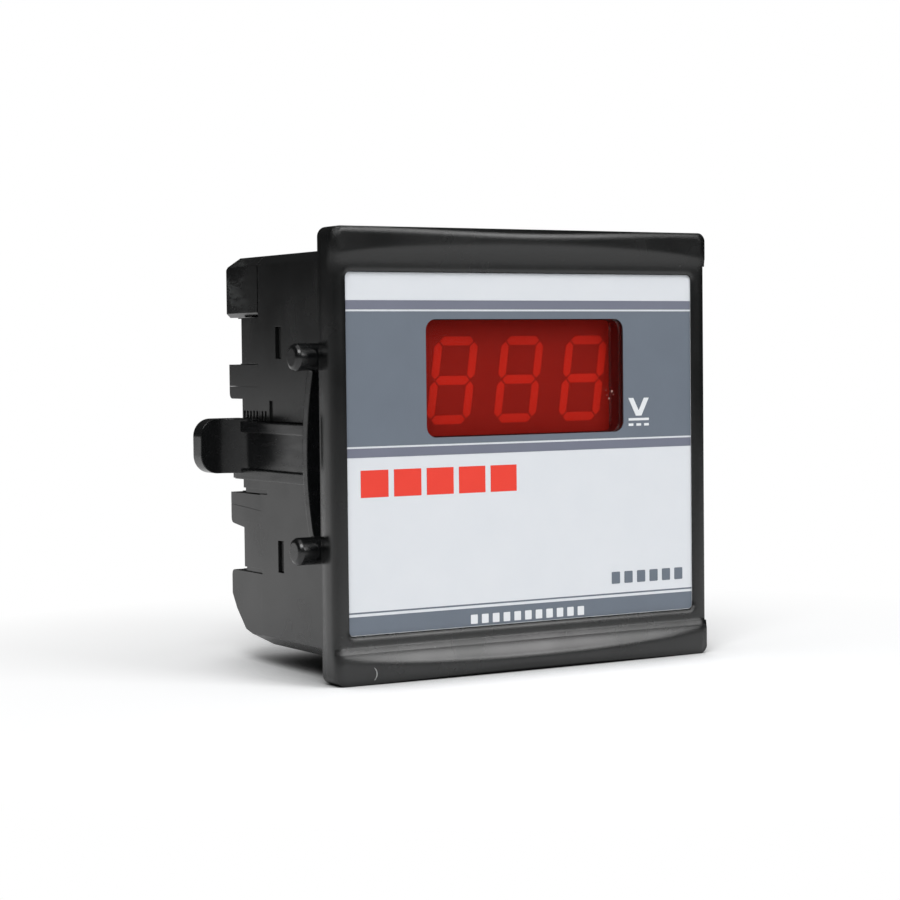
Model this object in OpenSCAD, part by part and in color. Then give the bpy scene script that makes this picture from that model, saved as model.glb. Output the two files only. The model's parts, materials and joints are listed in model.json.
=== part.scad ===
// Digital panel meter in the 72 x 72 mm format, with two sliding panel clips.
// Origin: centre of the panel seat, the rear face of the bezel.
// +X is to the right seen from the front, +Y points into the panel, +Z is up.

/* [Bezel] */
// Width and height of the square bezel
bezel_w = 72; // [71:0.5:80]
// Nominal depth of the bezel in front of the panel
bezel_t = 4.9; // [4.4:0.1:7]
// Radius of the bezel's four corners
corner_r = 1.6; // [1:0.1:3]
// Radius of the bezel's front edge
edge_r = 1.2; // [0.6:0.1:1.5]
// Radius of the side rails' front edge
rail_edge_r = 0.4; // [0.2:0.1:1]
// How far the side rails lie behind the nominal front
rail_drop = 0.3; // [0:0.1:0.6]
// Half the distance between the ridges of the two bars
ridge_z = 30.3; // [29.9:0.1:31]
// How far the bars' ends stand in front of the nominal front
bar_end_rise = 0.1; // [0:0.05:0.4]
// How much more the bars' middles stand out than their ends
bar_bulge = 0.9; // [0.4:0.1:1.6]
// Height of the lens-shaped scoop at the middle of a bar
scoop_h = 3.1; // [2:0.1:4]
// Radius of the hollow in the scoop
scoop_r = 6; // [5:0.5:20]

/* [Label] */
// Width of the printed label
label_w = 67; // [66:0.1:67.4]
// Height of the printed label
label_h = 57.1; // [56:0.1:58]
// Height of the label's centre above the bezel's centre
label_rise = 0.3; // [0:0.05:0.4]
// Thickness of the label sheet
label_t = 0.3; // [0.2:0.05:0.5]
// Depth of the label's face behind the side rails
label_sink = 0.5; // [0.3:0.1:0.8]
// Thickness of the printed ink
ink_t = 0.03; // [0.02:0.01:0.05]
// Width of the display window
window_w = 38.3; // [37:0.1:39]
// Distance of the window's centre to the right of the bezel's centre
window_x = 0.25; // [0:0.05:0.4]
// Height of the display window
window_h = 18.9; // [18:0.1:19.4]
// Radius of the window's corners
window_r = 1.8; // [1:0.1:3]
// Height of the window's centre above the bezel's centre
window_z = 12; // [10:0.5:13]
// Top of the grey field
grey_top = 24.45; // [23.5:0.05:25]
// Bottom of the grey field
grey_bottom = -0.25; // [-1:0.05:0.5]
// Height of the slate strips along the grey field's edges
strip_h = 1.45; // [1:0.05:1.6]
// Width of the white lines between the strips and the grey field
line_h = 0.3; // [0.2:0.05:0.5]
// Height of the grey footer band
footer_h = 2.9; // [2:0.1:4]
// Width of the grey hairline above the footer
hairline_h = 0.25; // [0.15:0.05:0.4]
// Width of the white line above the footer
footer_line_h = 0.45; // [0.3:0.05:0.8]
// Number of red blocks in the row under the grey field
block_count = 5; // [3:1:7]
// Length of the row of red blocks
block_row_w = 30; // [20:1:32]
// Height of the red blocks
block_h = 4.3; // [3:0.1:5]

/* [Case] */
// Width of the housing behind the bezel
body_w = 66.6; // [65:0.1:67.5]
// Height of the housing behind the bezel
body_h = 65.2; // [64:0.1:66]
// Wall of the housing
wall = 2; // [1.8:0.1:2.4]
// Chamfer along the housing's long edges
body_chamfer = 1.5; // [1:0.1:2.5]
// Depth of the side walls between their rear fingers
wall_depth = 33.7; // [33:0.1:36]
// Length of the rear fingers beyond the side walls
finger_l = 5; // [4:0.1:6]
// Thickness of the front wall behind the label
front_wall = 2.2; // [2:0.1:2.6]
// Thickness of the display filter
filter_t = 1; // [0.8:0.1:1.2]
// Width of the rebate that holds the filter's edge
filter_lip = 2; // [1.5:0.1:3]
// Width of the snap slots in the side walls, front to rear
slot_w = 2.1; // [1.8:0.1:3]
// Height of the snap slots
slot_h = 5.3; // [4:0.1:7]
// Distance of the snap slots behind the panel seat
slot_y = 18.4; // [17:0.1:19]
// Distance of the snap slots from their common middle
slot_z = 17.7; // [17:0.1:18.5]
// Height of the snap slots' common middle above the housing's middle
slot_rise = 0.35; // [0:0.05:0.4]
// Depth of the shallow recess in the side wall above the clip
recess_in = 0.3; // [0.1:0.05:0.4]

/* [Rear cover] */
// Clearance between the cover and the case
cover_gap = 0.15; // [0.1:0.05:0.3]
// Thickness of the cover's plate
cover_t = 3.5; // [3:0.1:4]
// Distance from the side walls' rear edge forward to the top block's seam
top_seam = 6.9; // [6:0.1:7]
// Width of the open seam in front of the top block
top_gap = 0.3; // [0.15:0.05:0.4]
// Lower edge of the top block
top_block_z = 22.3; // [22:0.1:23]
// Thickness of the snap arms
arm_t = 1.4; // [1.2:0.1:1.6]

/* [Clips] */
// Width of the clip's channel across its rails
clip_w = 9.6; // [9:0.1:10]
// Height of the rails above the housing's side
rail_h = 2.2; // [1.8:0.1:3]
// Width of each rail
rail_w = 1.7; // [1.4:0.1:2]
// Distance of the clip's thumb tab behind the panel seat
tab_y = 31.4; // [30:0.1:33]
// Thickness of the thumb tab
tab_t = 3.1; // [2.5:0.1:4]
// Reach of the thumb tab out from the housing's side
tab_reach = 8.7; // [7:0.1:11]
// Height of the thumb tab's middle above the clip's middle
tab_rise = 0.8; // [0:0.1:1.2]
// Diameter of the pegs that press on the panel
peg_d = 4.4; // [4:0.1:5]
// Distance of the pegs from the clip's middle
peg_z = 15.3; // [15:0.1:17]
// Height of the pegs' middle above the clip's middle
peg_rise = 0.3; // [0:0.05:0.4]
// Reach of the pegs out from the housing's side
peg_reach = 6.3; // [5:0.1:8]
// Depth of the bow spring's arch
bow_rise = 2.8; // [2:0.1:3.2]
// Thickness of the bow spring
bow_t = 1.5; // [1.2:0.1:2]
// Clearance of the clip in its channel
clip_gap = 0.15; // [0.1:0.05:0.25]
// Pitch of the rack teeth
rack_pitch = 1.2; // [1:0.1:1.6]
// Number of rack notches
rack_count = 8; // [5:1:9]

/* [Display] */
// Width of the display module
module_w = 37.6; // [37:0.1:37.8]
// Height of the display module
module_h = 19; // [18.5:0.1:19.6]
// Depth of the display module
module_t = 8; // [7.6:0.1:8.4]
// Height of a digit
digit_h = 14.2; // [13:0.1:14.6]
// Width of a digit
digit_w = 7.6; // [7:0.1:8]
// Distance from digit to digit
digit_pitch = 12.7; // [12:0.05:12.8]
// Stroke of a segment
stroke = 1.45; // [1.1:0.05:1.6]
// Slant of the digits in degrees
slant = 8; // [0:1:10]

/* [Terminals] */
// Distance of the terminal screws from the housing's middle
screw_x = 24.5; // [23.5:0.1:25]
// Diameter of the screw shank
screw_d = 3.4; // [3:0.1:4]
// Radial clearance of the shank in its bush
screw_gap = 0.05; // [0.02:0.01:0.09]
// Diameter of the screw head
head_d = 6.2; // [5.8:0.1:6.6]
// Height of the screw head
head_h = 2; // [1.6:0.1:2.2]
// Side of the square clamp plate
clamp_w = 7; // [6.6:0.1:7.2]
// Thickness of the clamp plate
clamp_t = 1; // [0.8:0.1:1.2]
// Outer diameter of the threaded bush
bush_d = 6; // [5.4:0.1:6.4]
// Chamfer along the lower edge of the cover's top block
block_chamfer = 0.7; // [0.3:0.1:1]

/* [Boards] */
// Thickness of the circuit boards
board_t = 1.6; // [1.2:0.1:1.8]
// Room between the boards' edges and the housing's walls
board_margin = 2.3; // [2:0.1:2.8]
// Height of the main board's underside above the housing's bottom
main_board_rise = 11.8; // [11:0.1:13]

/* [Hidden] */
$fn = 48;
eps = 0.01;
fit_gap = 0.1;

// Planes of the front, all negative because the bezel stands in front of the panel
front_y = -bezel_t;
rail_y = front_y + rail_drop;
label_y = rail_y + label_sink;
seat_y = label_y + label_t;
front_wall_y = seat_y + front_wall;
bar_end_y = front_y - bar_end_rise;
bar_mid_y = bar_end_y - bar_bulge;

// The arc that bulges the bars runs through their two ends and their middle
half_w = bezel_w / 2;
bulge_r = (half_w * half_w + bar_bulge * bar_bulge) / (2 * bar_bulge);

// The scoop is a cylinder along X through the ridge and the scoop's lower edge
ridge_step = 0.15;
scoop_dy = bar_mid_y - (front_y + ridge_step);
scoop_chord = sqrt(scoop_dy * scoop_dy + scoop_h * scoop_h);
scoop_lift = sqrt(scoop_r * scoop_r - scoop_chord * scoop_chord / 4);
scoop_y = (bar_mid_y + front_y + ridge_step) / 2 - scoop_lift * scoop_h / scoop_chord;
scoop_z = ridge_z + scoop_h / 2 + scoop_lift * scoop_dy / scoop_chord;

// Housing
half_body_w = body_w / 2;
half_body_h = body_h / 2;
inner_w = body_w - 2 * wall;
inner_h = body_h - 2 * wall;
rear_y = wall_depth + finger_l;
step_in = 0.2;
step_l = 6.7;
step_y = wall_depth - step_l;
pocket_y = step_y + 0.3;
top_cut_y = wall_depth - top_seam;
bevel_l = 8.2;
bevel = [[wall_depth - bevel_l, 0], [wall_depth - 0.2, 1.9], [wall_depth + 3.3, 5.2], [rear_y, 7.7]];

floor_z = bevel[1][1] - inner_h / 2;

// Heights of the castellations in the side walls: recesses, fingers and the cover's ears
ear_2 = [10.7, 14.6];
finger_2 = [8.6, 10.7];
ear_3 = [-9.5, -7.3];
finger_3 = [-12.8, -9.5];
finger_r = 0.9;
finger_slope = 0.5;
seam_slope = 0.65;
ear_gap = 0.05;
bottom_block_z = -20.8;
block_drop = 2;
block_slope = 2.3;
well_z = [(top_block_z + ear_2[1]) / 2, (bottom_block_z + finger_3[0]) / 2];
well_h = [top_block_z - ear_2[1], finger_3[0] - bottom_block_z];
groove_w = 0.8;
groove_over = 1;
groove_in = 0.6;
grooves = [[24.3, -7.3], [26.5, -20.8]];
recess_y = [10.5, 23];
recess_top = 8.4;

// Clip channel in the side wall: a slot with lips that hold the clip's foot plate
clip_half = clip_w / 2;
lip_t = 0.7;
foot_t = 0.7;
foot_over = 0.9;
channel_half = clip_half + clip_gap;
foot_half = channel_half + foot_over;
channel_depth = lip_t + foot_t + 2 * clip_gap;
channel_y = 7;
slot_at = [slot_rise - slot_z, slot_rise + slot_z];
hook_reach = 1.7;
boss_half = foot_half + 1.4;
boss_in = channel_depth - wall + 1.4;
rack_h = 1.7;
rack_w = 0.65;
rack_l = rack_count * rack_pitch;

// Front of the clip: its pegs stand this far behind the panel seat
peg_gap = 0.2;
peg_y = peg_d / 2 + peg_gap;
bow_y = peg_y + bow_rise;
bow_reach = rail_h + 0.5;
slide_gap = 0.3;
bow_r = (peg_z * peg_z + bow_rise * bow_rise) / (2 * bow_rise);
bow_angle = asin(peg_z / bow_r);
floor_t = 1;
tab_h = 9.2;
tab_r = 3;
sweep_r = 4.5;

// Display
module_y = front_wall_y + 0.9;
tunnel_wall = 1.4;
tunnel_over = 2;
module_rear = module_y + module_t;
board_y = module_rear + fit_gap;
board_rear = board_y + board_t;
segment_t = 0.25;
digits = [-1, 0, 1];
board_w = inner_w - 2 * board_margin;
display_board_h = inner_h - 2 * board_margin;
post_d = 6;
post_x = board_w / 2 - 4.5;
post_z = display_board_h / 2 - 3;
post_hole_d = 2.3;
post_hole_l = 6;
board_screw_d = 2.2;
board_screw_l = 5;
board_screw_head_d = 4.4;
board_screw_head_h = 1.7;
board_hole_d = 2.6;
pin_hole_d = 0.7;
display_pin_d = 0.5;

// Inner boards
main_board_z = main_board_rise - half_body_h;
main_top = main_board_z + board_t;
ledge_t = 1.2;
ledge_in = 1.5;
bush_rise = 3;
terminal_board_y = wall_depth - cover_t - bush_rise;
terminal_board_rear = terminal_board_y + board_t;
main_y0 = board_rear + fit_gap;
main_y1 = terminal_board_y - fit_gap;
terminal_board_h = 2 * (top_block_z - 0.8);
pin_w = 0.64;
header_pitch = 2.54;
header_count = [floor(board_w * 0.49 / header_pitch), 6];
header_edge = 2.03;
header_shift = 2;
function header_half(k) = header_count[k] * header_pitch / 2 + 1;
header_x = [header_half(0) + header_edge - board_w / 2,
    header_half(0) + header_edge - header_shift - board_w / 2];
header_h = 2.5;
header_lift = 0.02;

// Rear cover and terminals
cover_front = wall_depth - cover_t;
plug_w = inner_w - 2 * cover_gap;
plug_h = inner_h - 2 * cover_gap;
well_in = screw_x - clamp_w / 2 - 0.9;
bush_flange_t = 0.8;
bush_flange_w = 7.2;
clamp_y = wall_depth + bush_flange_t + 0.05;
head_y = clamp_y + clamp_t + 0.05;
shank_l = head_y - terminal_board_rear - 0.6;

black = [0.13, 0.135, 0.135];
clip_black = [0.11, 0.115, 0.115];
white = [0.87, 0.88, 0.9];
grey = [0.43, 0.46, 0.51];
slate = [0.46, 0.48, 0.55];
red = [0.94, 0.24, 0.16];
filter_red = [0.5, 0.06, 0.06, 0.6];
segment_red = [0.75, 0.12, 0.1];
board_green = [0.1, 0.35, 0.18];
brass = [0.8, 0.65, 0.3];
steel = [0.7, 0.71, 0.72];

// ---------- shared shapes ----------

// Extrude a drawing of X and Z along +Y, from y0 over length l
module along_y(y0, l) {
    translate([0, y0 + l, 0]) rotate([90, 0, 0]) linear_extrude(l) children();
}

// Extrude a drawing of Y and Z along +X, from x0 over length l
module along_x(x0, l) {
    translate([x0, 0, 0]) rotate([90, 0, 90]) linear_extrude(l) children();
}

// Box given by its ranges along X, Y and Z
module span(x, y, z) {
    translate([x[0], y[0], z[0]]) cube([x[1] - x[0], y[1] - y[0], z[1] - z[0]]);
}

// Round bar along +Y
module rod_y(d, y0, l) {
    translate([0, y0, 0]) rotate([-90, 0, 0]) cylinder(d = d, h = l);
}

// Round bar along +X
module rod_x(d, x0, l) {
    translate([x0, 0, 0]) rotate([0, 90, 0]) cylinder(d = d, h = l);
}

// Rectangle with round corners, made of bars and discs
module round_rect(w, h, r) {
    square([w - 2 * r, h], center = true);
    square([w, h - 2 * r], center = true);
    for (sx = [-1, 1], sz = [-1, 1])
        translate([sx * (w / 2 - r), sz * (h / 2 - r)]) circle(r);
}

// Rectangle with chamfered corners
module chamfer_rect(w, h, c) {
    polygon([for (s = [[1, 1], [-1, 1], [-1, -1], [1, -1]], k = [0, 1])
        let (first = (s[0] * s[1] > 0) ? k : 1 - k)
        [s[0] * (w / 2 - (first == 1 ? c : 0)), s[1] * (h / 2 - (first == 1 ? 0 : c))]]);
}

// Both sides of the object
module both_sides() {
    children();
    mirror([1, 0, 0]) children();
}

// Places on the four terminals, left top, right top, left bottom, right bottom
function terminal_at(i) = [(i % 2 == 0 ? -1 : 1) * screw_x, 0, well_z[i < 2 ? 0 : 1]];

// ---------- case ----------

// Square plate from the panel seat to y_front: three crossed prisms round its front edges
module rounded_plate(y_front, r) {
    depth = -y_front;
    intersection() {
        along_y(y_front, depth) round_rect(bezel_w, bezel_w, corner_r);
        along_x(-half_w, bezel_w) round_rect(2 * depth, bezel_w, r);
        translate([0, 0, -half_w]) linear_extrude(bezel_w) round_rect(bezel_w, 2 * depth, r);
    }
}

// The two bars: plate bulged by a large cylinder, with a lens-shaped scoop
module bars() {
    intersection() {
        rounded_plate(bar_mid_y, edge_r);
        translate([0, bar_mid_y + bulge_r, -half_w]) cylinder(r = bulge_r, h = bezel_w, $fn = 360);
        for (s = [0, 1]) mirror([0, 0, s])
            span([-half_w, half_w], [bar_mid_y - 1, 0], [ridge_z, half_w + 1]);
    }
}

module scoops() {
    for (s = [0, 1]) mirror([0, 0, s])
        translate([0, scoop_y, scoop_z]) rod_x(2 * scoop_r, -half_w - 1, bezel_w + 2, $fn = 96);
}

// Round corner at the rear end of a finger, below it (side -1) or above it (side 1)
function rear_corner(z, r, side) = [for (k = [0 : 3]) let (a = 30 * (side < 0 ? 3 - k : k))
    [rear_y - r + r * cos(a), z - side * r + side * r * sin(a)]];

// Outline of the housing's side: bevelled bottom, castellated rear, cut-back top
module side_outline() {
    polygon(concat(
        [[0, -half_body_h], [bevel[0][0], -half_body_h]],
        [for (p = [bevel[1], bevel[2], bevel[3]]) [p[0], p[1] - half_body_h]],
        rear_corner(bottom_block_z, finger_r, 1),
        [[wall_depth, bottom_block_z], [wall_depth, finger_3[0] - finger_slope]],
        rear_corner(finger_3[0], finger_r, -1),
        [[rear_y, finger_3[1]], [wall_depth, finger_3[1]], [wall_depth, finger_2[0]]],
        rear_corner(finger_2[0], finger_r, -1),
        [[rear_y, finger_2[1]], [wall_depth, finger_2[1]]],
        [[wall_depth, top_block_z], [top_cut_y, top_block_z], [top_cut_y, half_body_h]],
        [[0, half_body_h]]));
}

// Room inside the housing, whose floor rises along the bevel
module cavity() {
    intersection() {
        along_y(front_wall_y, rear_y - front_wall_y + 1) chamfer_rect(inner_w, inner_h, body_chamfer / 2);
        along_x(-half_body_w, body_w) polygon([[front_wall_y, -half_body_h], [front_wall_y, half_body_h],
            [rear_y + 1, half_body_h], [rear_y + 1, floor_z], [bevel[1][0], floor_z],
            [bevel[0][0], -inner_h / 2], [bevel[0][0], -half_body_h]]);
    }
}

// Side view of an ear or its pocket, whose lower edge falls by slope towards the front
module ear_outline(z, slope, gap, low_gap) {
    polygon([[pocket_y + gap, z[0] - slope + low_gap], [rear_y, z[0] + low_gap],
        [rear_y, z[1] - gap], [pocket_y + gap, z[1] - gap]]);
}

// Housing tube with its side outline and the pockets for the cover's ears
module housing() {
    difference() {
        intersection() {
            difference() {
                along_y(0, rear_y) chamfer_rect(body_w, body_h, body_chamfer);
                cavity();
            }
            along_x(-half_body_w, body_w) side_outline();
        }
        both_sides() {
            along_x(-half_body_w - 1, wall + 2) {
                ear_outline(ear_2, 0, 0, 0);
                ear_outline(ear_3, seam_slope, 0, 0);
            }
            span([-half_body_w - 1, -half_body_w + step_in], [step_y, rear_y],
                [-half_body_h, top_block_z]);
        }
    }
}

// Thicker wall inside, behind the clip channel
module channel_boss() {
    span([-inner_w / 2 - eps, -inner_w / 2 + boss_in], [front_wall_y - eps, cover_front - cover_gap],
        [-boss_half, boss_half]);
}

// Slot with lips for the clip's foot plate, open to the rear, and the rack notches in its upper lip
module channel_cut() {
    l = rear_y - channel_y + 1;
    span([-half_body_w - 1, -half_body_w + channel_depth], [channel_y, channel_y + l],
        [-channel_half, channel_half]);
    span([-half_body_w + lip_t, -half_body_w + channel_depth], [channel_y, channel_y + l],
        [-foot_half, foot_half]);
    for (i = [0 : rack_count - 1])
        span([-half_body_w - 1, -half_body_w + lip_t + eps],
            [wall_depth - rack_l + i * rack_pitch, wall_depth - rack_l + i * rack_pitch + rack_w],
            [channel_half - eps, channel_half + rack_h]);
}

// Window frame that reaches back to the display, screw posts and board ledges
module inner_features() {
    difference() {
        translate([0, 0, window_z]) along_y(front_wall_y - eps, module_y + tunnel_over - front_wall_y)
            square([module_w + 2 * tunnel_wall, module_h + 2 * tunnel_wall], center = true);
        translate([0, 0, window_z]) along_y(module_y, tunnel_over + 1)
            square([module_w + 2 * fit_gap, module_h + 2 * fit_gap], center = true);
    }
    for (x = [-post_x, post_x], z = [-post_z, post_z])
        translate([x, 0, z]) difference() {
            rod_y(post_d, front_wall_y - eps, board_y - front_wall_y + eps);
            rod_y(post_hole_d, board_y - post_hole_l, post_hole_l + 1);
        }
    both_sides() for (z = [main_board_z - ledge_t - fit_gap, main_top + fit_gap])
        span([-inner_w / 2 - eps, -board_w / 2 + ledge_in], [board_rear, slot_y - 2], [z, z + ledge_t]);
}

module case() {
    color(black) difference() {
        union() {
            difference() {
                union() {
                    rounded_plate(rail_y, rail_edge_r);
                    difference() {
                        bars();
                        scoops();
                    }
                }
                cavity();
            }
            housing();
            both_sides() channel_boss();
            inner_features();
        }
        // label recess, filter rebate, window and the room behind the front wall
        translate([0, 0, label_rise]) along_y(bar_mid_y - 1, seat_y - bar_mid_y + 1)
            round_rect(label_w + 2 * fit_gap, label_h + 2 * fit_gap, 1);
        translate([window_x, 0, window_z]) {
            along_y(seat_y - 1, filter_t + 1)
                round_rect(window_w + 2 * filter_lip, window_h + 2 * filter_lip, 2);
            along_y(seat_y, module_y - seat_y + 0.1) round_rect(window_w, window_h, window_r);
        }
        both_sides() {
            channel_cut();
            for (z = slot_at)
                span([-half_body_w - 1, -inner_w / 2 + 1], [slot_y, slot_y + slot_w],
                    [z - slot_h / 2, z + slot_h / 2]);
            span([-half_body_w - 1, -half_body_w + recess_in], recess_y, [0, recess_top]);
            for (g = grooves)
                span([-half_body_w - 1, -half_body_w + groove_in], [g[0], wall_depth + groove_over],
                    [g[1], g[1] + groove_w]);
        }
    }
}

// ---------- label and filter ----------

module window_hole(h) {
    translate([window_x, 0, window_z]) along_y(label_y - 1, h + 2)
        round_rect(window_w, window_h, window_r);
}

module label_sheet() {
    color(white) difference() {
        translate([0, 0, label_rise]) along_y(label_y, label_t) round_rect(label_w, label_h, 0.9);
        window_hole(label_t);
    }
}

// Field of ink across the label between two heights
module ink_band(z0, z1) {
    span([-label_w / 2 + 0.1, label_w / 2 - 0.1], [label_y - ink_t, label_y], [z0, z1]);
}

module label_grey_print() {
    footer_z = label_rise - label_h / 2 + 0.1;
    line_z = footer_z + footer_h + footer_line_h;
    color(grey) difference() {
        intersection() {
            union() {
                ink_band(grey_bottom + strip_h + line_h, grey_top - strip_h - line_h);
                ink_band(footer_z, footer_z + footer_h);
                ink_band(line_z, line_z + hairline_h);
            }
            translate([0, 0, label_rise]) along_y(label_y - 1, 2) round_rect(label_w - 0.1, label_h - 0.1, 0.9);
        }
        window_hole(label_t);
    }
}

module label_slate_print() {
    color(slate) {
        ink_band(grey_top - strip_h, grey_top);
        ink_band(grey_bottom, grey_bottom + strip_h);
    }
}

module label_red_print() {
    pitch = block_row_w / block_count;
    block_w = pitch - 1;
    color(red) for (i = [0 : block_count - 1])
        translate([-label_w / 2 + 2.5 + i * pitch, 0, grey_bottom - 2 - block_h])
            span([0, block_w], [label_y - ink_t, label_y], [0, block_h]);
}

module display_filter() {
    color(filter_red) translate([window_x, 0, window_z]) along_y(seat_y, filter_t)
        round_rect(window_w + 2 * filter_lip - 2 * fit_gap, window_h + 2 * filter_lip - 2 * fit_gap, 1.9);
}

// ---------- display ----------

// One horizontal or vertical segment: a bar with pointed ends
module segment(l) {
    polygon([[-l / 2, 0], [-l / 2 + stroke / 2, stroke / 2], [l / 2 - stroke / 2, stroke / 2], [l / 2, 0],
        [l / 2 - stroke / 2, -stroke / 2], [-l / 2 + stroke / 2, -stroke / 2]]);
}

// Seven segments around a slanted frame, and the decimal point
module digit() {
    w = digit_w - stroke;
    h = (digit_h - stroke) / 2;
    gap = 0.3;
    lean = tan(slant);
    for (k = [-1, 0, 1]) translate([k * h * lean, k * h]) segment(w - gap);
    for (sx = [-1, 1], sz = [-1, 1])
        translate([sx * w / 2 + sz * h / 2 * lean, sz * h / 2]) rotate(90 - slant) segment(h - gap);
    translate([digit_w / 2 + 0.9, -digit_h / 2 + stroke / 2]) circle(stroke / 2);
}

module all_digits() {
    for (k = digits) translate([k * digit_pitch - 0.7, 0]) digit();
}

module display_module() {
    color([0.2, 0.05, 0.05]) translate([0, 0, window_z]) difference() {
        along_y(module_y + eps, module_t) square([module_w, module_h], center = true);
        along_y(module_y - 1, 1 + segment_t) all_digits();
    }
}

module display_segments() {
    color(segment_red) translate([0, 0, window_z]) along_y(module_y + 0.05, segment_t - 0.05) all_digits();
}

module display_pins() {
    color(steel) for (i = [-2.5 : 2.5], z = [-1, 1])
        translate([i * header_pitch * 2, 0, window_z + z * header_pitch * 3])
            rod_y(display_pin_d, module_rear + eps, board_t + 1.6);
}

// ---------- boards ----------

module display_board() {
    color(board_green) difference() {
        along_y(board_y, board_t) square([board_w, display_board_h], center = true);
        for (x = [-post_x, post_x], z = [-post_z, post_z]) translate([x, 0, z])
            rod_y(board_hole_d, board_y - 1, board_t + 2);
        for (i = [-2.5 : 2.5], z = [-1, 1])
            translate([i * header_pitch * 2, 0, window_z + z * header_pitch * 3])
                rod_y(pin_hole_d, board_y - 1, board_t + 2);
    }
}

module board_screws() {
    color(steel) for (x = [-post_x, post_x], z = [-post_z, post_z]) translate([x, 0, z]) {
        rod_y(board_screw_d, board_y - board_screw_l, board_screw_l + board_t);
        difference() {
            rod_y(board_screw_head_d, board_rear, board_screw_head_h);
            for (a = [0, 90]) rotate([0, a, 0])
                span([-board_screw_head_d / 3, board_screw_head_d / 3],
                    [board_rear + board_screw_head_h / 2, board_rear + board_screw_head_h + 1], [-0.25, 0.25]);
        }
    }
}

chip_z = window_z;
chip_w = board_w - 6;
chip_h = 13.6;
chip_t = 3.8;
chip_lift = 0.6;
chip_pin_count = 20;

module converter_chip() {
    color([0.12, 0.12, 0.12]) difference() {
        translate([0, 0, chip_z]) along_y(board_rear + chip_lift, chip_t)
            square([chip_w, chip_h], center = true);
        translate([-chip_w / 2, 0, chip_z]) rod_y(3, board_rear + chip_lift + chip_t - 0.4, 1);
    }
}

module chip_pins() {
    color(steel) for (i = [0 : chip_pin_count - 1], s = [-1, 1]) {
        x = (i - (chip_pin_count - 1) / 2) * header_pitch;
        z = chip_z + s * (chip_h / 2 + 0.45);
        span([x - 0.25, x + 0.25], [board_rear, board_rear + 2.6], [z - 0.15, z + 0.15]);
        span([x - 0.25, x + 0.25], [board_rear + 2.3, board_rear + 2.6],
            s > 0 ? [chip_z + chip_h / 2, z] : [z, chip_z - chip_h / 2]);
    }
}

module main_board() {
    color(board_green) span([-board_w / 2, board_w / 2], [main_y0, main_y1], [main_board_z, main_top]);
}

module front_header() {
    half_l = header_half(0);
    color([0.1, 0.1, 0.1]) translate([header_x[0], 0, main_top])
        span([-half_l, half_l], [board_rear + header_lift, board_rear + header_h], [header_lift, header_h]);
}

// Right-angle pins that rise in front of a header and turn down into the main board
module header_pins(x_mid, count, y0, y1) {
    for (i = [0 : count - 1]) {
        x = x_mid + (i - (count - 1) / 2) * header_pitch;
        span([x - pin_w / 2, x + pin_w / 2], [y0, y1],
            [main_top + header_h + fit_gap, main_top + header_h + fit_gap + pin_w]);
    }
}

module front_header_pins() {
    color(brass) header_pins(header_x[0], header_count[0], board_rear, board_rear + 4);
}

module terminal_board() {
    color(board_green) along_y(terminal_board_y, board_t) square([board_w, terminal_board_h], center = true);
}

module rear_header() {
    half_l = header_half(1);
    color([0.1, 0.1, 0.1]) translate([header_x[1], 0, main_top])
        span([-half_l, half_l], [main_y1 - header_h, main_y1 + fit_gap - header_lift], [header_lift, header_h]);
}

module rear_header_pins() {
    color(brass) header_pins(header_x[1], header_count[1], main_y1 - 3, terminal_board_y);
}

// ---------- parts on the main board ----------

core_w = board_w / 2 - 1;
core_h = chip_z - chip_h / 2 - main_top - fit_gap;
core_t = 10;
core_x = header_x[0];
core_y = main_y0 + core_t / 2 + 4.9;
core_stand = 2.6;
core_z = main_top + core_h / 2 + core_stand;
limb = core_w / 6;

// Stack of E and I laminations with two windows
module transformer_core() {
    color([0.45, 0.45, 0.47]) translate([core_x, core_y - core_t / 2, core_z]) difference() {
        along_y(0, core_t) square([core_w, core_h], center = true);
        for (s = [-1, 1]) along_y(-1, core_t + 2)
            translate([s * limb * 1.5, 0]) square([limb, core_h - 2 * limb], center = true);
    }
}

// Bobbin and winding wrapped around the middle limb, with room for the core
module transformer_coil() {
    coil_h = core_h - 2 * limb - 0.2;
    color([0.75, 0.6, 0.2]) translate([core_x, core_y, core_z]) difference() {
        translate([0, 0, -coil_h / 2]) linear_extrude(coil_h)
            round_rect(4 * limb - 0.2, core_t + 6, 2);
        span([-limb - 0.02, limb + 0.02], [-core_t / 2 - 0.02, core_t / 2 + 0.02], [-core_h, core_h]);
    }
    color([0.15, 0.15, 0.15]) translate([core_x, core_y, main_top])
        span([-limb * 2, limb * 2], [-core_t / 2, core_t / 2], [header_lift, core_stand - header_lift]);
}

module transformer_pins() {
    color(steel) for (x = [-1, 1], y = [-1, 1])
        translate([core_x + x * (core_w / 2 - limb / 2), core_y + y * core_t / 3, main_top + eps])
            cylinder(d = 0.8, h = core_stand - eps);
}

cap_d = 10;
cap_h = 16;
cap_x = board_w / 2 - cap_d / 2 - 1.7;
cap_y = main_y0 + cap_d / 2 + 6.8;

module filter_capacitor() {
    color([0.12, 0.16, 0.3]) translate([cap_x, cap_y, main_top + 0.5]) difference() {
        rotate_extrude() polygon([[0, 0], [cap_d / 2 - 0.4, 0], [cap_d / 2 - 0.4, 0.8], [cap_d / 2, 1.2],
            [cap_d / 2, cap_h - 0.4], [cap_d / 2 - 0.4, cap_h], [0, cap_h]]);
        for (a = [0, 90]) rotate(a) span([-3, 3], [-0.15, 0.15], [cap_h - 0.3, cap_h + 1]);
    }
}

module capacitor_leads() {
    color(steel) for (x = [-2.5, 2.5])
        translate([cap_x + x, cap_y, main_top + 0.01]) cylinder(d = 0.6, h = 0.48);
}

regulator_x = board_w / 2 - 3.8;
regulator_lift = 4;
regulator_y = main_y0 + 3;

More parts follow.
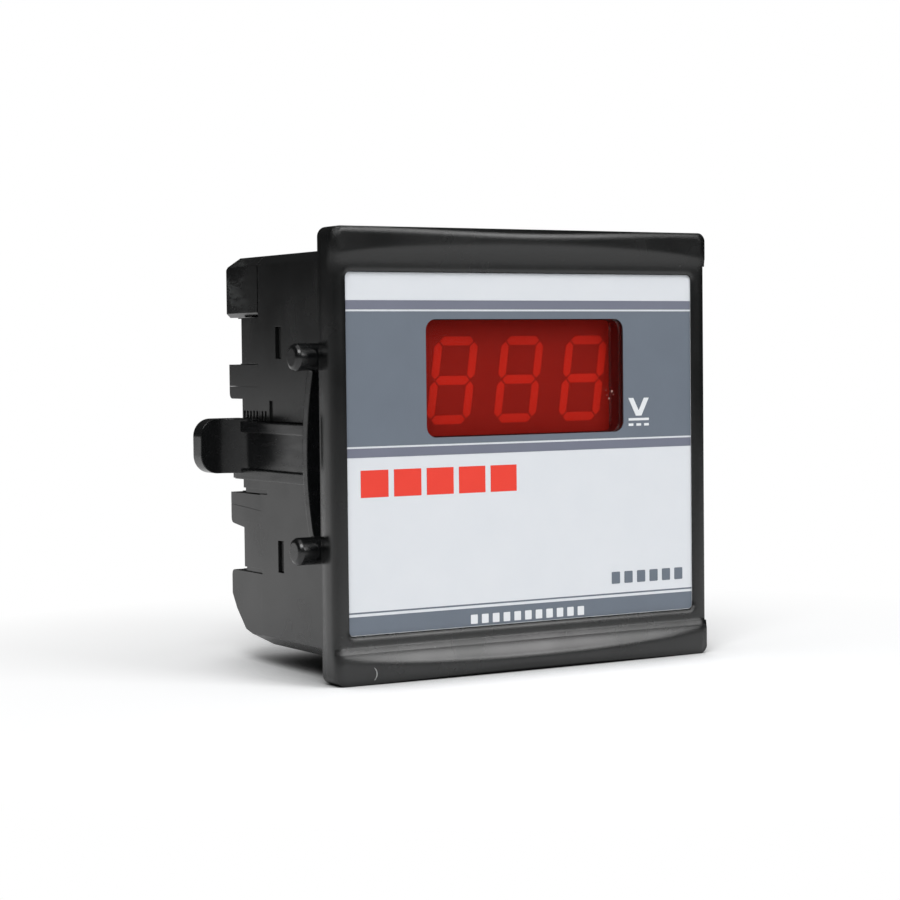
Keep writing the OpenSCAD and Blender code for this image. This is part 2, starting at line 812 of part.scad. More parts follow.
module regulator() {
    color([0.1, 0.1, 0.1]) translate([regulator_x, regulator_y, main_top + regulator_lift]) difference() {
        cylinder(d = 4.8, h = 5);
        span([-3, 3], [1.2, 4], [-1, 6]);
    }
}

module regulator_legs() {
    color(steel) for (x = [-1.27, 0, 1.27])
        translate([regulator_x + x, regulator_y, main_top + eps]) cylinder(d = 0.5, h = regulator_lift - 2 * eps);
}

// Axial parts in a row: body along Y, leads bent down into the board
module axial_bodies(x0, y0, count, pitch, d, l) {
    for (i = [0 : count - 1]) translate([x0 + i * pitch, y0, main_top + d / 2 + 0.3]) rod_y(d, -l / 2, l);
}

module axial_leads(x0, y0, count, pitch, d, l) {
    for (i = [0 : count - 1], s = [-1, 1]) translate([x0 + i * pitch, y0, main_top]) {
        y = s * (l / 2 + 1.2);
        translate([0, y, 0.01]) cylinder(d = 0.6, h = d / 2 + 0.6);
        translate([0, min(s * l / 2, y), d / 2 + 0.3]) rod_y(0.6, 0, 1.2);
    }
}

// Rows of axial parts: first place along X, middle along Y, count, pitch, diameter, length
diode_x = header_x[0] + header_half(0) + header_edge;
diode_row = [diode_x, main_y0 + 5.8, 4, 2.9, 2.6, 4.2];
diode_end = diode_x + 3 * 2.9 + 1.3;
resistor_pitch = 2.4;
resistor_count = floor((regulator_x - resistor_pitch - diode_end) / resistor_pitch);
resistor_x = regulator_x - 3.5 - (resistor_count - 1) * resistor_pitch;
resistor_row = [resistor_x, main_y0 + 3.4, resistor_count, resistor_pitch, 2, 3.4];

module rectifier_diodes() {
    r = diode_row;
    color([0.1, 0.1, 0.1]) axial_bodies(r[0], r[1], r[2], r[3], r[4], r[5]);
}

module diode_leads() {
    r = diode_row;
    color(steel) axial_leads(r[0], r[1], r[2], r[3], r[4], r[5]);
}

module resistors() {
    r = resistor_row;
    color([0.6, 0.75, 0.8]) axial_bodies(r[0], r[1], r[2], r[3], r[4], r[5]);
}

module resistor_leads() {
    r = resistor_row;
    color(steel) axial_leads(r[0], r[1], r[2], r[3], r[4], r[5]);
}

trim_x = diode_x + 4;
trim_y = main_y1 - 5.5;
trim_screw_d = 2.2;

module trimmer_body() {
    color([0.1, 0.25, 0.6]) difference() {
        span([trim_x - 2.4, trim_x + 2.4], [trim_y - 2.4, trim_y + 4], [main_top + 0.01, main_top + 10]);
        translate([trim_x, trim_y, main_top + 6]) cylinder(d = trim_screw_d + 2 * screw_gap, h = 5);
    }
}

module trimmer_screw() {
    color(brass) translate([trim_x, trim_y, main_top + 6.1]) difference() {
        cylinder(d = trim_screw_d, h = 4.9);
        span([-2, 2], [-0.25, 0.25], [4.3, 6]);
    }
}

// ---------- rear cover ----------

// Outline of the cover's side view: plate, raised rear and the wedge at the top
module cover_profile() {
    polygon([[cover_front, floor_z + cover_gap], [bevel[1][0] + bevel[1][1], floor_z + cover_gap],
        [bevel[2][0], bevel[2][1] + 0.3 - half_body_h], [rear_y - 0.5, bevel[3][1] + 0.5 - half_body_h],
        [rear_y - 0.5, top_block_z], [rear_y + 0.3, top_block_z], [rear_y + 0.3, half_body_h - block_drop],
        [rear_y - block_slope, half_body_h], [top_cut_y + top_gap, half_body_h], [top_cut_y + top_gap, top_block_z],
        [cover_front, top_block_z]]);
}

module rear_cover() {
    color(black) difference() {
        union() {
            intersection() {
                union() {
                    // plug between the side walls
                    along_x(-plug_w / 2, plug_w) cover_profile();
                    // top block over the full width
                    difference() {
                        along_x(-half_body_w, body_w) cover_profile();
                        span([-body_w, body_w], [0, rear_y + 5], [-body_h, top_block_z + cover_gap]);
                    }
                    // ears that fill the pockets in the side walls
                    both_sides() along_x(-half_body_w + step_in, wall - step_in + 1) {
                        ear_outline(ear_2, 0, cover_gap, ear_gap);
                        ear_outline(ear_3, seam_slope, cover_gap, ear_gap);
                    }
                }
                along_y(0, rear_y + 5) chamfer_rect(body_w, body_h, body_chamfer);
            }
            both_sides() for (z = slot_at) snap_arm(z);
        }
        // chamfer along the top block's lower edge
        both_sides() along_y(0, rear_y + 5) translate([-half_body_w, top_block_z + cover_gap])
            polygon([[-1, -1], [block_chamfer + 1, -1], [-1, block_chamfer + 1]]);
        // hollow of the top block
        span([-plug_w / 2 + wall, plug_w / 2 - wall], [0, rear_y - 1.4], [top_block_z + wall, half_body_h - wall]);
        // terminal wells, open to the sides
        for (k = [0, 1]) both_sides()
            span([-half_body_w - 1, -well_in], [wall_depth, rear_y + 5],
                [well_z[k] - well_h[k] / 2, well_z[k] + well_h[k] / 2]);
        // room for the clips' thumb tabs, and for the channel bosses
        both_sides() {
            span([-half_body_w - 1, -inner_w / 2 + boss_in + 3], [wall_depth, rear_y + 5],
                [ear_3[1] - eps, finger_2[0]]);
            span([-half_body_w - 1, -half_body_w + channel_depth + 0.9], [0, rear_y + 5],
                [-foot_half - 0.5, foot_half + 0.5]);
        }
        // holes for the terminal bushes
        for (i = [0 : 3]) translate(terminal_at(i))
            rod_y(bush_d + 0.1, cover_front - 1, cover_t + 2);
    }
}

// Flexible arm along the side wall, with a hook that sits in the wall's slot
module snap_arm(z) {
    x0 = -plug_w / 2;
    half_h = slot_h / 2 - cover_gap;
    hook_y = slot_y + cover_gap;
    hook_l = slot_w - 2 * cover_gap;
    span([x0, x0 + arm_t], [hook_y - 1, cover_front + 1], [z - half_h, z + half_h]);
    translate([0, 0, z - half_h]) linear_extrude(2 * half_h)
        polygon([[x0 + eps, hook_y - 1], [x0 + eps, hook_y + hook_l], [x0 - hook_reach, hook_y + hook_l],
            [x0 - hook_reach, hook_y + hook_l - 0.6], [x0 - 0.1, hook_y]]);
}

module terminal_bushes() {
    color(brass) for (i = [0 : 3]) translate(terminal_at(i)) difference() {
        union() {
            rod_y(bush_d, terminal_board_rear, wall_depth + 0.5 - terminal_board_rear);
            along_y(wall_depth + 0.01, bush_flange_t - 0.01) square(bush_flange_w, center = true);
        }
        rod_y(screw_d + 2 * screw_gap, terminal_board_rear - 1, 12);
    }
}

// Square clamp plate with two turned edges that keep the wire in
module terminal_clamp(i) {
    color(steel) translate(terminal_at(i)) difference() {
        along_y(clamp_y, clamp_t) square(clamp_w, center = true);
        rod_y(screw_d + 0.6, clamp_y - 1, clamp_t + 2);
        for (z = [-2.4, 2.4]) translate([-clamp_w, clamp_y, z]) rod_x(0.5, 0, 2 * clamp_w, $fn = 16);
    }
}

// Pan-head screw with a cross slot
module terminal_screw(i) {
    color(steel) translate(terminal_at(i)) difference() {
        union() {
            rod_y(screw_d, head_y - shank_l, shank_l + eps);
            translate([0, head_y, 0]) rotate([-90, 0, 0]) rotate_extrude()
                polygon([[0, 0], [head_d / 2, 0], [head_d / 2, head_h * 0.55], [head_d / 2 - 0.5, head_h * 0.85],
                    [head_d / 2 - 1.1, head_h], [0, head_h]]);
        }
        for (a = [0, 90]) rotate([0, a, 0])
            span([-head_d / 2 + 0.9, head_d / 2 - 0.9], [head_y + head_h - 1.2, head_y + head_h + 1], [-0.4, 0.4]);
    }
}

// ---------- panel clips ----------

// Arched spring strip between the pegs, drawn in Y and Z as a ring sector
module bow() {
    x1 = -half_body_w - slide_gap;
    translate([x1 - bow_reach + slide_gap, bow_y - bow_r, 0]) rotate([0, 90, 0])
        rotate([0, 0, 90 - bow_angle])
            rotate_extrude(angle = 2 * bow_angle, $fn = 96)
                translate([bow_r - bow_t / 2, 0]) square([bow_t, bow_reach - slide_gap]);
}

// Round peg with a rounded outer end
module peg() {
    x1 = -half_body_w - slide_gap;
    l = peg_reach - slide_gap;
    translate([x1, peg_y, 0]) rotate([0, -90, 0]) rotate_extrude()
        polygon([[0, 0], [peg_d / 2, 0], [peg_d / 2, l - 0.7], [peg_d / 2 - 0.25, l - 0.25],
            [peg_d / 2 - 0.7, l], [0, l]]);
}

// Floor that sweeps outward into the thumb tab, drawn in plan as X and Y
module tab_sweep() {
    x0 = -half_body_w - slide_gap;
    x_floor = x0 - floor_t;
    x_end = -half_body_w - tab_reach;
    polygon([[x0, tab_y - sweep_r], [x0, tab_y + tab_t], [x_end, tab_y + tab_t], [x_end, tab_y],
        [x_floor, tab_y], [x_floor, tab_y - sweep_r]]);
    difference() {
        translate([x_floor - sweep_r, tab_y - sweep_r]) square([sweep_r + eps, sweep_r + eps]);
        translate([x_floor - sweep_r, tab_y - sweep_r]) circle(sweep_r);
    }
}

// Rounded end of the tab, drawn in X and Z
module tab_outline() {
    x_end = -half_body_w - tab_reach;
    reach = tab_reach + half_body_w;
    translate([0, tab_rise]) intersection() {
        translate([x_end + reach, 0]) round_rect(2 * reach, tab_h, tab_r);
        translate([x_end, -tab_h]) square([tab_reach, 2 * tab_h]);
    }
}

module clip() {
    x0 = -half_body_w - slide_gap;
    y_floor = bow_y + bow_t + 0.8;
    foot_x = -half_body_w + lip_t + clip_gap;
    union() {
        bow();
        for (z = [-peg_z, peg_z]) translate([0, 0, z + peg_rise]) peg();
        // rails and floor
        for (z = [-clip_half, clip_half - rail_w])
            span([-half_body_w - rail_h, x0], [bow_y, tab_y + 0.5], [z, z + rail_w]);
        span([x0 - floor_t, x0], [y_floor, tab_y + tab_t], [-clip_half, clip_half]);
        // neck and foot plate in the channel, with the pawl near the tab
        span([x0 - eps, foot_x + foot_t], [channel_y + 0.5, wall_depth - 3],
            [-clip_half, clip_half]);
        span([foot_x, foot_x + foot_t], [channel_y + 0.5, wall_depth - 3],
            [-foot_half + clip_gap, foot_half - clip_gap]);
        // thumb tab
        intersection() {
            translate([0, 0, -tab_h]) linear_extrude(2 * tab_h) tab_sweep();
            along_y(tab_y - sweep_r - 1, sweep_r + tab_t + 2) tab_outline();
        }
    }
}

module clip_left() {
    color(clip_black) clip();
}

module clip_right() {
    color(clip_black) mirror([1, 0, 0]) clip();
}

case();
label_sheet();
label_grey_print();
label_slate_print();
label_red_print();
display_filter();
display_module();
display_segments();
display_pins();
display_board();
board_screws();
converter_chip();
chip_pins();
main_board();
front_header();
front_header_pins();
terminal_board();
rear_header();
rear_header_pins();
transformer_core();
transformer_coil();
transformer_pins();
filter_capacitor();
capacitor_leads();
regulator();
regulator_legs();
rectifier_diodes();
diode_leads();
resistors();
resistor_leads();
trimmer_body();
trimmer_screw();
rear_cover();
terminal_bushes();
clip_left();
clip_right();
terminal_clamp(0);  // terminal_clamp_1
terminal_clamp(1);  // terminal_clamp_2
terminal_clamp(2);  // terminal_clamp_3
terminal_clamp(3);  // terminal_clamp_4
terminal_screw(0);  // terminal_screw_1
terminal_screw(1);  // terminal_screw_2
terminal_screw(2);  // terminal_screw_3
terminal_screw(3);  // terminal_screw_4
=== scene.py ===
# %% [markdown]
# # A digital panel meter
#
# The object is a small voltmeter for a control panel: a square black bezel with a printed
# label and a red window, a moulded housing behind it, two sliding clips that clamp it to the
# sheet metal, and four screw terminals at the back.
#
# The hard parts were already drawn as solids. This first cell loads them. They never move and
# their meshes never change here: they only get finishes. What is added in this lesson is the
# thin print on the label, the display's digits, the window's lining, which paints the tunnel's shade,
# the marks of use, the floor, the lamps and the camera.

# %% Load the solids
import json
import math
import bpy
import numpy as np
from mathutils import Matrix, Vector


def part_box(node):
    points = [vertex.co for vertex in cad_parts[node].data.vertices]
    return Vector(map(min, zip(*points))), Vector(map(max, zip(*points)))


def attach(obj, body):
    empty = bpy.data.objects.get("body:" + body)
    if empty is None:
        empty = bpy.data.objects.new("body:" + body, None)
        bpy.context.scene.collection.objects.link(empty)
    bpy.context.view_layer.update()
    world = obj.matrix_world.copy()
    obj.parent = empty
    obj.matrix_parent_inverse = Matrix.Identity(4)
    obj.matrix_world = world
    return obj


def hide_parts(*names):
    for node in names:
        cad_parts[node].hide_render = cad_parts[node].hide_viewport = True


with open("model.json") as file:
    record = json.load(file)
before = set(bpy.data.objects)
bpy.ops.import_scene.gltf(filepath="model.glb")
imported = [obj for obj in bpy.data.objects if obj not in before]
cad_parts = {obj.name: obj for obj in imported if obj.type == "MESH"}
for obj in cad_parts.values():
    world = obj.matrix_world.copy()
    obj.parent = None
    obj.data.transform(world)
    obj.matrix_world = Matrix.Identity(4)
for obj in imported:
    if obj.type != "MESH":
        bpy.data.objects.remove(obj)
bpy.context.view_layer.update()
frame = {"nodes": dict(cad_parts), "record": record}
nodes = frame["nodes"]
MM = 0.001

# %% [markdown]
# ## Small helpers
#
# Colours are written as hex codes, as a paint chart gives them. A shader works with light, not
# with the bent scale of a screen, so one function turns a code into linear values.
#
# A material is a tree of nodes. One function adds a node, gives it its settings and joins it to
# the nodes before it. A setting is either a property of the node or the value of one of its
# sockets; sockets that share a name are called by their number. On a Map Range node, 1 and 2
# are the range that comes in, and 3 and 4 the range that goes out, which is 0 to 1 unless told.
#
# Every material begins alike, with a shader, an output and the object's own coordinates. The
# scale of a pattern is worked out from the real size of its features, in millimetres.

# %% Colour and node helpers
def linear(code):
    """sRGB to linear: c / 12.92 up to 0.04045, above it ((c + 0.055) / 1.055) ^ 2.4."""
    c = np.array([int(code[k:k + 2], 16) for k in (1, 3, 5)]) / 255
    c = np.where(c <= 0.04045, c / 12.92, ((c + 0.055) / 1.055) ** 2.4)
    return (*c.tolist(), 1.0)


def add(tree, kind, settings=None, links=None):
    """Adds one node to a tree, with its settings and with links into its sockets."""
    node = tree.nodes.new("ShaderNode" + kind)
    for key, value in (settings or {}).items():
        if isinstance(key, str) and hasattr(node, key):
            setattr(node, key, value)
        else:
            node.inputs[key].default_value = value
    for key, source in (links or {}).items():
        tree.links.new(source, node.inputs[key])
    return node


def begin(name, shader_settings):
    """An empty material with its shader and output, and the coordinates of the object it is on."""
    material = bpy.data.materials.new(name)
    material.use_nodes = True
    tree = material.node_tree
    tree.nodes.clear()
    shader = add(tree, "BsdfPrincipled", shader_settings)
    add(tree, "OutputMaterial", links={"Surface": shader.outputs["BSDF"]})
    return material, tree, shader, add(tree, "TexCoord").outputs["Object"]


def per_metre(size_mm):
    """Scale of a pattern whose features are size_mm wide, in features per metre: 1000 / size."""
    return 1000 / size_mm


finishes = {}
print("helpers ready")

# %% [markdown]
# ## Black moulded ABS
#
# The housing, bezel and cover are injection-moulded ABS, a tough plastic with a semi-gloss
# skin. The steel mould was spark-eroded, which leaves a fine pebbled grain of about 0.1 mm. That
# is too fine to show at this distance, so it is drawn at 0.3 mm.
#
# Real mouldings have no sharp edges. A Bevel node turns the surface's direction near an edge, so
# that each edge catches a line of light, without touching the mesh. The bezel's edges are soft;
# the housing's are almost sharp, so its seams stay dark lines. A Bump node does the same for the
# ridge of the lower bar, which is rolled over towards the front.
#
# A large soft noise changes the gloss from place to place, as a mould does that cools unevenly.

# %% Material: moulded ABS, its edges and grain
abs_black, tree, shader, at = begin("moulded_abs_black", {"IOR": 1.54})
x_y_z = add(tree, "SeparateXYZ", links={0: at})

# Radii: the bezel's edges, its upright edges beyond 34.4 mm from the middle, and the edges
# behind the panel seat, which is at y = 0.
bezel_radius, upright_radius, seam_radius = 1.4 * MM, 3.0 * MM, 0.07 * MM
sideways = add(tree, "Math", {"operation": "ABSOLUTE"}, {0: x_y_z.outputs["X"]})
upright_edge = add(tree, "MapRange", {1: 34.4 * MM, 2: 35.4 * MM, 3: bezel_radius, 4: upright_radius},
                   {0: sideways.outputs[0]})
radius = add(tree, "MapRange", {1: -0.8 * MM, 2: -0.2 * MM, 4: seam_radius},
             {0: x_y_z.outputs["Y"], 3: upright_edge.outputs[0]})
soft_edge = add(tree, "Bevel", {"samples": 8}, {"Radius": radius.outputs[0]})

# The lower bar's ridge comes forward by its depth from z = -30 to -31 mm, on the front only.
ridge_depth = 0.24 * MM
roll_over = add(tree, "MapRange", {1: -30.0 * MM, 2: -31.0 * MM}, {0: x_y_z.outputs["Z"]})
at_front = add(tree, "MapRange", {1: -4.2 * MM, 2: -4.4 * MM}, {0: x_y_z.outputs["Y"]})
ridge = add(tree, "Bump", {"Distance": ridge_depth},
            {"Height": roll_over.outputs[0], "Normal": soft_edge.outputs["Normal"],
             "Strength": at_front.outputs[0]})

grain = add(tree, "TexNoise", {"Scale": per_metre(0.3), "Detail": 2.0}, {"Vector": at})
bump = add(tree, "Bump", {"Strength": 0.1, "Distance": 0.02 * MM},
           {"Height": grain.outputs["Fac"], "Normal": ridge.outputs["Normal"]})
tree.links.new(bump.outputs["Normal"], shader.inputs["Normal"])

cooling = add(tree, "TexNoise", {"Scale": per_metre(9), "Detail": 3.0}, {"Vector": at})
gloss = add(tree, "MapRange", {1: 0.3, 2: 0.7, 3: 0.21, 4: 0.29}, {0: cooling.outputs["Fac"]})
print("edges, ridge and grain joined to:", abs_black.name)

# %% [markdown]
# ## Wear on the housing
#
# Handling rubs black plastic pale. The wear gathers on the cover's top block, and most of all at
# the block's left end, which a bench meets first.
#
# Two kinds of wear are mixed there. Rubbed edges are where the Bevel node's softened direction
# leaves the true one, broken up by a 1.6 mm noise. Scuffs are a 2.6 mm noise drawn out into
# streaks. Two small knocks are groups of pale specks: near a knock the specks' noise is raised,
# so that more of it comes over the mark where it shows.

# %% Material: moulded ABS, its wear
flat_way = add(tree, "NewGeometry")
turned = add(tree, "VectorMath", {"operation": "DOT_PRODUCT"},
             {0: soft_edge.outputs["Normal"], 1: flat_way.outputs["Normal"]})
edge = add(tree, "MapRange", {1: 0.985, 2: 0.9}, {0: turned.outputs["Value"]})
patchy = add(tree, "TexNoise", {"Scale": per_metre(1.6), "Detail": 4.0}, {"Vector": at})
worn = add(tree, "MapRange", {1: 0.45, 2: 0.68, 4: 0.5}, {0: patchy.outputs["Fac"]})
rub = add(tree, "Math", {"operation": "MULTIPLY"}, {0: edge.outputs[0], 1: worn.outputs[0]})

streaks = add(tree, "Mapping", {"Scale": (1.0, 0.35, 1.6), "Rotation": (0.5, 0, 0)}, {"Vector": at})
scratched = add(tree, "TexNoise", {"Scale": per_metre(2.6), "Detail": 5.0, "Roughness": 0.6},
                {"Vector": streaks.outputs["Vector"]})
scuff = add(tree, "MapRange", {1: 0.48, 2: 0.75, 4: 0.4}, {0: scratched.outputs["Fac"]})
scuff_or_rub = add(tree, "Math", {"operation": "MAXIMUM"}, {0: rub.outputs[0], 1: scuff.outputs[0]})

# The top block lies behind y = 29 mm and above z = 19 mm; its left end is beyond x = -24 mm.
far_back = add(tree, "MapRange", {1: 29 * MM, 2: 34 * MM}, {0: x_y_z.outputs["Y"]})
high_up = add(tree, "MapRange", {1: 19 * MM, 2: 24 * MM}, {0: x_y_z.outputs["Z"]})
on_top = add(tree, "Math", {"operation": "MULTIPLY"}, {0: far_back.outputs[0], 1: high_up.outputs[0]})
to_left = add(tree, "MapRange", {1: -24 * MM, 2: -33 * MM, 3: 0.2}, {0: x_y_z.outputs["X"]})
on_block = add(tree, "Math", {"operation": "MULTIPLY"}, {0: on_top.outputs[0], 1: to_left.outputs[0]})
wear = add(tree, "Math", {"operation": "MULTIPLY"},
           {0: scuff_or_rub.outputs[0], 1: on_block.outputs[0]})

# Each knock reaches 2 mm; its specks are 0.45 mm wide.
speckle = add(tree, "TexNoise", {"Scale": per_metre(0.45), "Detail": 3.0, "Roughness": 0.7},
              {"Vector": at})
for knock in ((-33.3, 37.8, 27.2), (-33.3, 36.6, 24.6)):
    way = add(tree, "VectorMath", {"operation": "DISTANCE", 1: [c * MM for c in knock]}, {0: at})
    near_it = add(tree, "MapRange", {1: 2.0 * MM, 2: 0.5 * MM, 4: 0.17}, {0: way.outputs["Value"]})
    raised = add(tree, "Math", {"operation": "ADD"}, {0: speckle.outputs["Fac"], 1: near_it.outputs[0]})
    pale = add(tree, "MapRange", {1: 0.72, 2: 0.8, 4: 0.9}, {0: raised.outputs[0]})
    wear = add(tree, "Math", {"operation": "MAXIMUM"}, {0: wear.outputs[0], 1: pale.outputs[0]})

skin = add(tree, "Mix", {"data_type": "RGBA", 6: linear("#0f1010"), 7: linear("#747776")},
           {0: wear.outputs[0]})
rough = add(tree, "Math", {"operation": "MULTIPLY_ADD", 1: 0.3},
            {0: wear.outputs[0], 2: gloss.outputs[0]})
tree.links.new(skin.outputs[2], shader.inputs["Base Color"])
tree.links.new(rough.outputs[0], shader.inputs["Roughness"])
finishes["black_moulding"] = abs_black
print("material:", abs_black.name)

# %% [markdown]
# ## Black nylon for the clips
#
# A clip has to bend without breaking, so it is moulded in nylon. Nylon takes a smoother, waxier
# skin than ABS and shows long faint flow marks in the direction in which the mould was filled.

# %% Material: moulded nylon
nylon, tree, shader, at = begin("moulded_nylon_black", {"IOR": 1.53})
soft_edge = add(tree, "Bevel", {"samples": 6, "Radius": 0.3 * MM})
flow = add(tree, "Mapping", {"Scale": (1.0, 0.2, 1.0)}, {"Vector": at})
marks = add(tree, "TexNoise", {"Scale": per_metre(1.5), "Detail": 4.0},
            {"Vector": flow.outputs["Vector"]})
bump = add(tree, "Bump", {"Strength": 0.12, "Distance": 0.03 * MM},
           {"Height": marks.outputs["Fac"], "Normal": soft_edge.outputs["Normal"]})
gloss = add(tree, "MapRange", {1: 0.3, 2: 0.7, 3: 0.2, 4: 0.3}, {0: marks.outputs["Fac"]})
tint = add(tree, "Mix", {"data_type": "RGBA", 6: linear("#0b0c0d"), 7: linear("#121314")},
           {0: marks.outputs["Fac"]})
tree.links.new(bump.outputs["Normal"], shader.inputs["Normal"])
tree.links.new(gloss.outputs[0], shader.inputs["Roughness"])
tree.links.new(tint.outputs[2], shader.inputs["Base Color"])
finishes["clip_plastic"] = nylon
print("material:", nylon.name)

# %% [markdown]
# ## Label film and screen inks
#
# The label is a polyester sheet with a satin face. Film has a faint orange-peel surface, and a
# white that leans a little to blue. The inks are screen printed: thick, even and a little duller
# than the film. A very light cloud in the colour stands for the ink's uneven deposit.
#
# The cut edge of the sheet is coloured dark grey: painted shade, not a colour of the film. It is
# where the face's own direction has no part along Y, the direction in which the label faces.

# %% Materials: polyester film and screen inks
for slot, name, low, high, shine in (
        ("label_white", "polyester_film_white", "#dde1e6", "#e3e6ea", 0.33),
        ("label_grey", "screen_ink_blue_grey", "#636c78", "#6a7480", 0.42),
        ("label_slate", "screen_ink_slate", "#6c7080", "#747888", 0.42),
        ("label_red", "screen_ink_red", "#ea3320", "#f03c28", 0.4),
        ("label_white_ink", "screen_ink_white", "#e4e7ea", "#ebedf0", 0.42)):
    film, tree, shader, at = begin(name, {"IOR": 1.55, "Roughness": shine})
    peel = add(tree, "TexNoise", {"Scale": per_metre(0.8), "Detail": 2.0}, {"Vector": at})
    cloud = add(tree, "TexNoise", {"Scale": per_metre(6), "Detail": 3.0}, {"Vector": at})
    bump = add(tree, "Bump", {"Strength": 0.05, "Distance": 0.01 * MM}, {"Height": peel.outputs["Fac"]})
    tint = add(tree, "Mix", {"data_type": "RGBA", 6: linear(low), 7: linear(high)},
               {0: cloud.outputs["Fac"]})
    way = add(tree, "SeparateXYZ", links={0: add(tree, "NewGeometry").outputs["True Normal"]})
    flatness = add(tree, "Math", {"operation": "ABSOLUTE"}, {0: way.outputs["Y"]})
    # painted shade: where the face's direction has no part along Y, the cut edge is mixed to dark grey
    tint_with_painted_edge_shade = add(tree, "Mix", {"data_type": "RGBA", 6: linear("#2c2e30")},
                    {0: flatness.outputs[0], 7: tint.outputs[2]})
    tree.links.new(bump.outputs["Normal"], shader.inputs["Normal"])
    tree.links.new(tint_with_painted_edge_shade.outputs[2], shader.inputs["Base Color"])
    finishes[slot] = film
    print("material:", film.name)

# %% [markdown]
# ## Red acrylic window
#
# The window is a 1 mm sheet of red cast acrylic. It lets the display's own red through and drinks
# every other colour, so an unlit display behind it looks dark red instead of grey. A partly clear
# shader does this without the noise that light through real glass would cost: what is behind the
# sheet shows through, and the sheet adds its own red and its polished reflection.

# %% Material: red acrylic
acrylic, tree, shader, at = begin("cast_acrylic_red", {"IOR": 1.49, "Roughness": 0.06, "Alpha": 0.14})
depth = add(tree, "TexNoise", {"Scale": per_metre(12), "Detail": 2.0}, {"Vector": at})
tint = add(tree, "Mix", {"data_type": "RGBA", 6: linear("#7c120e"), 7: linear("#881812")},
           {0: depth.outputs["Fac"]})
tree.links.new(tint.outputs[2], shader.inputs["Base Color"])
finishes["red_acrylic"] = acrylic
print("material:", acrylic.name)

# %% [markdown]
# ## The display behind it
#
# The display is a red moulded block whose seven-segment channels are filled with diffusing epoxy.
# The channels scatter more light than the block, so the unlit digits still show, a little
# brighter than their ground. A 0.7 mm noise gives the epoxy its milky, uneven fill.

# %% Materials: display body and segments
for slot, name, low, high, shine in (
        ("display_body", "display_face_red", "#951a10", "#9d1e13", 0.6),
        ("segment_epoxy", "diffusing_epoxy_red", "#da2717", "#e42d1c", 0.5)):
    unlit, tree, shader, at = begin(name, {"IOR": 1.5, "Roughness": shine, "Specular IOR Level": 0.1})
    fill = add(tree, "TexNoise", {"Scale": per_metre(0.7), "Detail": 3.0}, {"Vector": at})
    tint = add(tree, "Mix", {"data_type": "RGBA", 6: linear(low), 7: linear(high)},
               {0: fill.outputs["Fac"]})
    bump = add(tree, "Bump", {"Strength": 0.1, "Distance": 0.02 * MM}, {"Height": fill.outputs["Fac"]})
    tree.links.new(tint.outputs[2], shader.inputs["Base Color"])
    tree.links.new(bump.outputs["Normal"], shader.inputs["Normal"])
    finishes[slot] = unlit
    print("material:", unlit.name)

# %% [markdown]
# ## Metals
#
# Terminal plates and screws are steel with a bright zinc or tin coat, rolled and tumbled, so the
# coat is blotchy and finely scratched. The bushes and pins are turned brass, with rings left by
# the cutting tool. The transformer's core is a stack of 0.5 mm silicon steel sheets, so its edges
# are striped at that pitch. A metal keeps the shader's own IOR; its colour does the work.

# %% Materials: tinned steel, brass and laminated steel
sheet_pitch = 0.5 * MM
for slot, name, low, high, shine, size in (
        ("tinned_steel", "tinned_steel", "#b9bab8", "#d2d2cf", 0.3, 0.8),
        ("brass", "turned_brass", "#b08a3c", "#d0aa58", 0.28, 0.6),
        ("core_steel", "silicon_steel_sheets", "#6a6b6c", "#8f9091", 0.45, 1.2)):
    metal, tree, shader, at = begin(name, {"Metallic": 1.0})
    soft_edge = add(tree, "Bevel", {"samples": 4, "Radius": 0.12 * MM})
    coat = add(tree, "TexNoise", {"Scale": per_metre(size), "Detail": 5.0}, {"Vector": at})
    gloss = add(tree, "MapRange", {1: 0.3, 2: 0.7, 3: shine - 0.06, 4: shine + 0.14},
                {0: coat.outputs["Fac"]})
    tint = add(tree, "Mix", {"data_type": "RGBA", 6: linear(low), 7: linear(high)},
               {0: coat.outputs["Fac"]})
    bump = add(tree, "Bump", {"Strength": 0.15, "Distance": 0.02 * MM},
               {"Height": coat.outputs["Fac"], "Normal": soft_edge.outputs["Normal"]})
    if slot == "core_steel":
        # a band's period is 2 pi / (20 scale), so a pitch asks for the scale 2 pi / (20 pitch)
        bands_scale = 2 * math.pi / (20 * sheet_pitch)
        sheets = add(tree, "TexWave", {"bands_direction": "Y", "Scale": bands_scale}, {"Vector": at})
        bump.inputs["Strength"].default_value = 0.6
        tree.links.new(sheets.outputs["Fac"], bump.inputs["Height"])
    tree.links.new(gloss.outputs[0], shader.inputs["Roughness"])
    tree.links.new(tint.outputs[2], shader.inputs["Base Color"])
    tree.links.new(bump.outputs["Normal"], shader.inputs["Normal"])
    finishes[slot] = metal
    print("material:", metal.name)

# %% [markdown]
# ## Circuit boards and the parts on them
#
# These sit inside the housing and show only when it is taken apart. Boards are glass cloth in
# epoxy under a green lacquer; the copper tracks show through the lacquer as slightly raised,
# lighter lines. The tracks are drawn as the cell borders of a Voronoi pattern measured with the
# sum of its sides, which gives right angles like a real layout. The other parts each get the skin
# of their kind: pressed epoxy, lacquer, tape or a shrunk sleeve.

# %% Material: glass-epoxy board
board, tree, shader, at = begin("glass_epoxy_board_green", {"IOR": 1.55, "Roughness": 0.32})
tracks = add(tree, "TexVoronoi", {"feature": "F1", "distance": "MANHATTAN", "Scale": per_metre(3.2)},
             {"Vector": at})
line = add(tree, "MapRange", {1: 0.42, 2: 0.46}, {0: tracks.outputs["Distance"]})
tint = add(tree, "Mix", {"data_type": "RGBA", 6: linear("#14552c"), 7: linear("#2f7d45")},
           {0: line.outputs[0]})
bump = add(tree, "Bump", {"Strength": 0.4, "Distance": 0.03 * MM}, {"Height": line.outputs[0]})
tree.links.new(tint.outputs[2], shader.inputs["Base Color"])
tree.links.new(bump.outputs["Normal"], shader.inputs["Normal"])
finishes["board_laminate"] = board
print("material:", board.name)

